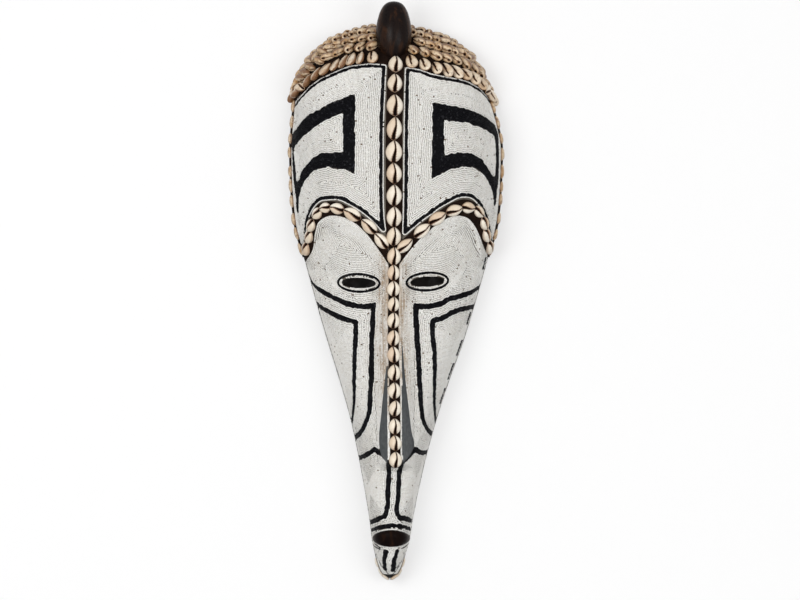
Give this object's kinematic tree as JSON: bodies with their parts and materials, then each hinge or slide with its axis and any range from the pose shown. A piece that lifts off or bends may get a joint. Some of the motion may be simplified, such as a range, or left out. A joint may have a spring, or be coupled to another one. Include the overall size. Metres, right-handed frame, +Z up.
{
  "type": "carved wooden wall mask",
  "caption": "Long hollow carved wooden mask with a seed-bead skin in black and white, cowrie shell bands, a cowrie cap and a turned crest knob.",
  "frame": {"origin": "middle notch of the saw-tooth hanger on the back, in the plane of the back rim, where a wall nail holds the mask", "axes": "+Z up along the mask, +Y out of the back towards the wall, so the face looks along -Y, +X to the viewer's right"},
  "size_m": [0.2749, 0.1148, 0.7239],
  "materials": {
    "carved_wood": "rough carved, dark stain",
    "polished_wood": "polished, dark stain",
    "white_beads": "opaque white glass seed beads in sewn rows",
    "black_beads": "opaque black glass seed beads in sewn rows",
    "cowries_on_cloth": "glossy cowrie shells sewn on dark cloth",
    "steel": "dull zinc-plated"
  },
  "bodies": {
    "root": {"cap_row_4": "cowries_on_cloth", "cap_row_5": "cowries_on_cloth", "carved_shell": "carved_wood", "chin_cowrie_band": "cowries_on_cloth", "chin_white": "white_beads", "crest_knob": "polished_wood", "forehead_cowrie_strip": "cowries_on_cloth", "hanger_nail_1": "steel", "hanger_nail_2": "steel", "hanger_strip": "steel", "left_border_row_white": "white_beads", "left_brow_cowrie_band": "cowries_on_cloth", "left_cap_row_1": "cowries_on_cloth", "left_cap_row_2": "cowries_on_cloth", "left_cap_row_3": "cowries_on_cloth", "left_cheek_band_white": "white_beads", "left_cheek_line_lower_black": "black_beads", "left_cheek_line_upper_black": "black_beads", "left_cheek_patch_white": "white_beads", "left_chin_line_black": "black_beads", "left_eye_panel_white": "white_beads", "left_eye_rim_white": "white_beads", "left_eye_ring_black": "black_beads", "left_forehead_border_black": "black_beads", "left_forehead_inner_white": "white_beads", "left_forehead_ring_black": "black_beads", "left_forehead_white": "white_beads", "left_muzzle_line_black": "black_beads", "left_muzzle_white": "white_beads", "left_rim_line_black": "black_beads", "left_rim_row_white": "white_beads", "left_side_cowrie_band": "cowries_on_cloth", "mouth_line_black": "black_beads", "mouth_lips": "polished_wood", "muzzle_stripe_white": "white_beads", "nose_cowrie_strip": "cowries_on_cloth", "right_border_row_white": "white_beads", "right_brow_cowrie_band": "cowries_on_cloth", "right_cap_row_1": "cowries_on_cloth", "right_cap_row_2": "cowries_on_cloth", "right_cap_row_3": "cowries_on_cloth", "right_cheek_band_white": "white_beads", "right_cheek_line_lower_black": "black_beads", "right_cheek_line_upper_black": "black_beads", "right_cheek_patch_white": "white_beads", "right_chin_line_black": "black_beads", "right_eye_panel_white": "white_beads", "right_eye_rim_white": "white_beads", "right_eye_ring_black": "black_beads", "right_forehead_border_black": "black_beads", "right_forehead_inner_white": "white_beads", "right_forehead_ring_black": "black_beads", "right_forehead_white": "white_beads", "right_muzzle_line_black": "black_beads", "right_muzzle_white": "white_beads", "right_rim_line_black": "black_beads", "right_rim_row_white": "white_beads", "right_side_cowrie_band": "cowries_on_cloth"}
  },
  "joints": []
}
